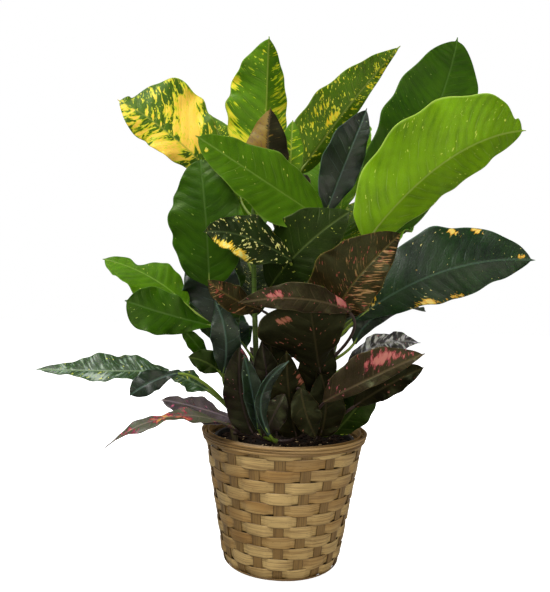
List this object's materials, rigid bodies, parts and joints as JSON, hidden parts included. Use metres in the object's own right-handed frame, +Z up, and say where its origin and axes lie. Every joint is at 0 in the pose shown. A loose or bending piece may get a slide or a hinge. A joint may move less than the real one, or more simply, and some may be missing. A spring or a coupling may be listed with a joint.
{
  "type": "potted croton",
  "caption": "Broad-leaved croton with waved, blotched leaves on leafy stems, in a plastic nursery pot inside a woven bamboo basket.",
  "frame": {"origin": "middle of the flat underside of the basket's floor, on the basket's axis, which is where it rests", "axes": "+Z up along the basket's axis; the plant's best side faces -Y, and +X is to the right seen from there"},
  "size_m": [0.5178, 0.3731, 0.6308],
  "materials": {
    "bamboo_floor": "matte split bamboo",
    "bamboo_stake": "matte split bamboo, grain upright",
    "bamboo_weave": "satin split bamboo, grain along the row",
    "bamboo_rim": "satin bent bamboo",
    "pot_plastic": "semi-matte, thin",
    "soil": "matte, crumbly peat and bark",
    "leaf_upper": "waxy, smooth",
    "leaf_lower": "waxy, smooth, dark"
  },
  "bodies": {
    "root": {"basket_floor": "bamboo_floor", "stake_1": "bamboo_stake", "stake_2": "bamboo_stake", "stake_3": "bamboo_stake", "stake_4": "bamboo_stake", "stake_5": "bamboo_stake", "stake_6": "bamboo_stake", "stake_7": "bamboo_stake", "stake_8": "bamboo_stake", "stake_9": "bamboo_stake", "stake_10": "bamboo_stake", "stake_11": "bamboo_stake", "stake_12": "bamboo_stake", "stake_13": "bamboo_stake", "stake_14": "bamboo_stake", "stake_15": "bamboo_stake", "stake_16": "bamboo_stake", "stake_17": "bamboo_stake", "stake_18": "bamboo_stake", "stake_19": "bamboo_stake", "stake_20": "bamboo_stake", "weave_row_1": "bamboo_weave", "weave_row_2": "bamboo_weave", "weave_row_3": "bamboo_weave", "weave_row_4": "bamboo_weave", "weave_row_5": "bamboo_weave", "weave_row_6": "bamboo_weave", "weave_row_7": "bamboo_weave", "weave_row_8": "bamboo_weave", "weave_row_9": "bamboo_weave", "weave_row_10": "bamboo_weave", "weave_row_11": "bamboo_weave", "weave_row_12": "bamboo_weave", "rim_hoop_outer": "bamboo_rim", "rim_hoop_middle": "bamboo_rim", "rim_hoop_inner": "bamboo_rim", "nursery_pot": "pot_plastic", "potting_soil": "soil", "leafy_stem_left": "leaf_upper", "leafy_stem_middle": "leaf_upper", "leafy_stem_right": "leaf_upper", "leafy_stem_front": "leaf_lower", "leafy_stem_back_left": "leaf_upper", "leafy_stem_back_right": "leaf_upper"}
  },
  "joints": []
}
